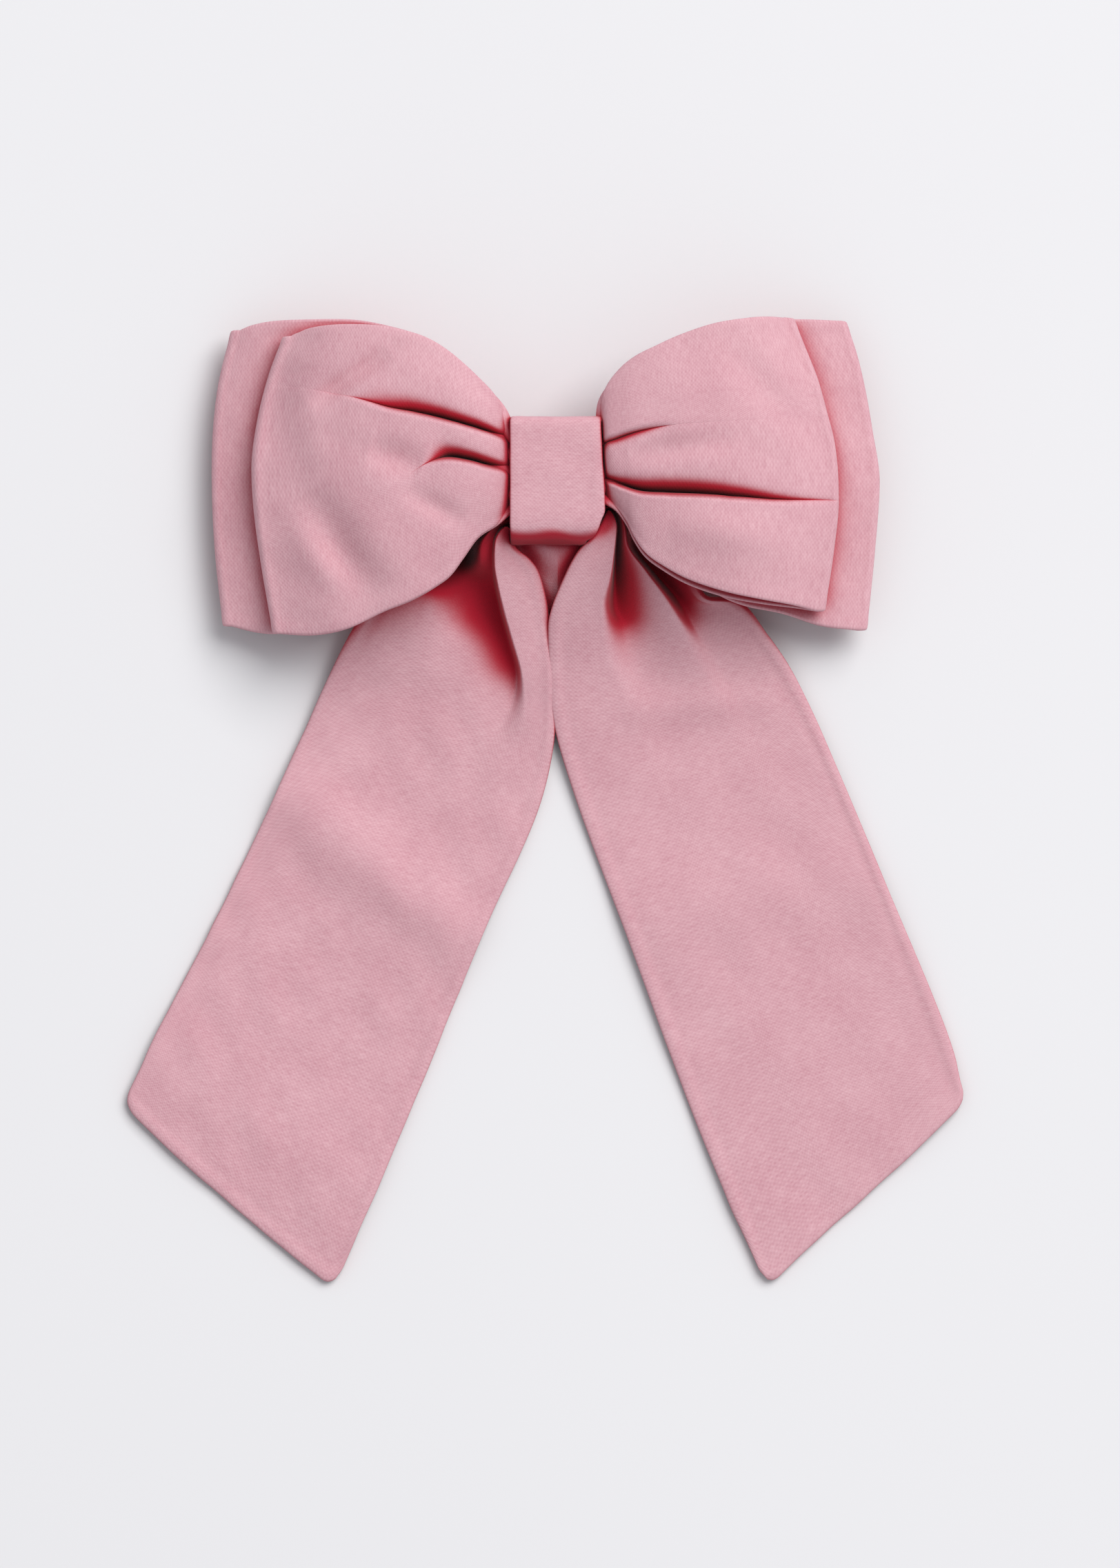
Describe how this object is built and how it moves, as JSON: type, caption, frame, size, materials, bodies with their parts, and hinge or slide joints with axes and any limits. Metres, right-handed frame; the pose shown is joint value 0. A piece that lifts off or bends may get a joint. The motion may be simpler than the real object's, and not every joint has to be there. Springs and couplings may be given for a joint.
{
  "type": "bow barrette",
  "caption": "Fabric bow of stacked ribbon loops with long slant-cut tails, gathered by a centre band over a sprung metal hair barrette.",
  "frame": {"origin": "on the flat underside of the clasp arm, below the middle of the centre band", "axes": "+X along the clip from its hinge to its catch, +Y from the tails towards the top of the bow, +Z out of the front of the bow"},
  "size_m": [0.1702, 0.1955, 0.0266],
  "materials": {
    "clip_plate": "bright nickel plate",
    "clip_spring": "satin spring steel",
    "clip_rivet": "bright nickel plate",
    "bow_fabric": "matt plain-weave cotton",
    "tail_fabric": "matt plain-weave cotton",
    "band_fabric": "matt plain-weave cotton",
    "sewing_thread": "matt spun polyester thread",
    "set_glue": "translucent hot-melt glue"
  },
  "bodies": {
    "bow_and_base": {"base_plate": "clip_plate", "hinge_pin": "clip_rivet", "bar_rivet": "clip_rivet", "catch_plate": "clip_spring", "catch_rivet": "clip_rivet", "front_loop": "bow_fabric", "back_loop": "bow_fabric", "tail_ribbon": "tail_fabric", "center_band": "band_fabric", "glue_pad": "set_glue", "front_loop_thread": "sewing_thread", "back_loop_thread": "sewing_thread", "tail_thread": "sewing_thread", "band_stitches": "sewing_thread"},
    "arm": {"clasp_arm": "clip_plate"},
    "bar": {"tension_bar": "clip_spring"},
    "upper_finger": {"catch_finger_upper": "clip_spring"},
    "lower_finger": {"catch_finger_lower": "clip_spring"}
  },
  "joints": [
    {"name": "arm_hinge", "type": "hinge", "parent": "bow_and_base", "child": "arm", "pos_m": [-0.037, 0, 0.0013], "axis": [0, 1, 0], "range_deg": [0, 80]},
    {"name": "bar_flex", "type": "hinge", "parent": "bow_and_base", "child": "bar", "pos_m": [-0.032, 0, 0.00555], "axis": [0, -1, 0], "range_deg": [0, 3], "stiffness_Nm_per_rad": 0.3},
    {"name": "upper_finger_squeeze", "type": "hinge", "parent": "bow_and_base", "child": "upper_finger", "pos_m": [0.0358, 0.00175, 0.005], "axis": [-1, 0, 0], "range_deg": [0, 8], "stiffness_Nm_per_rad": 0.09},
    {"name": "lower_finger_squeeze", "type": "hinge", "parent": "bow_and_base", "child": "lower_finger", "pos_m": [0.0358, -0.00175, 0.005], "axis": [1, 0, 0], "range_deg": [0, 8], "stiffness_Nm_per_rad": 0.09}
  ]
}
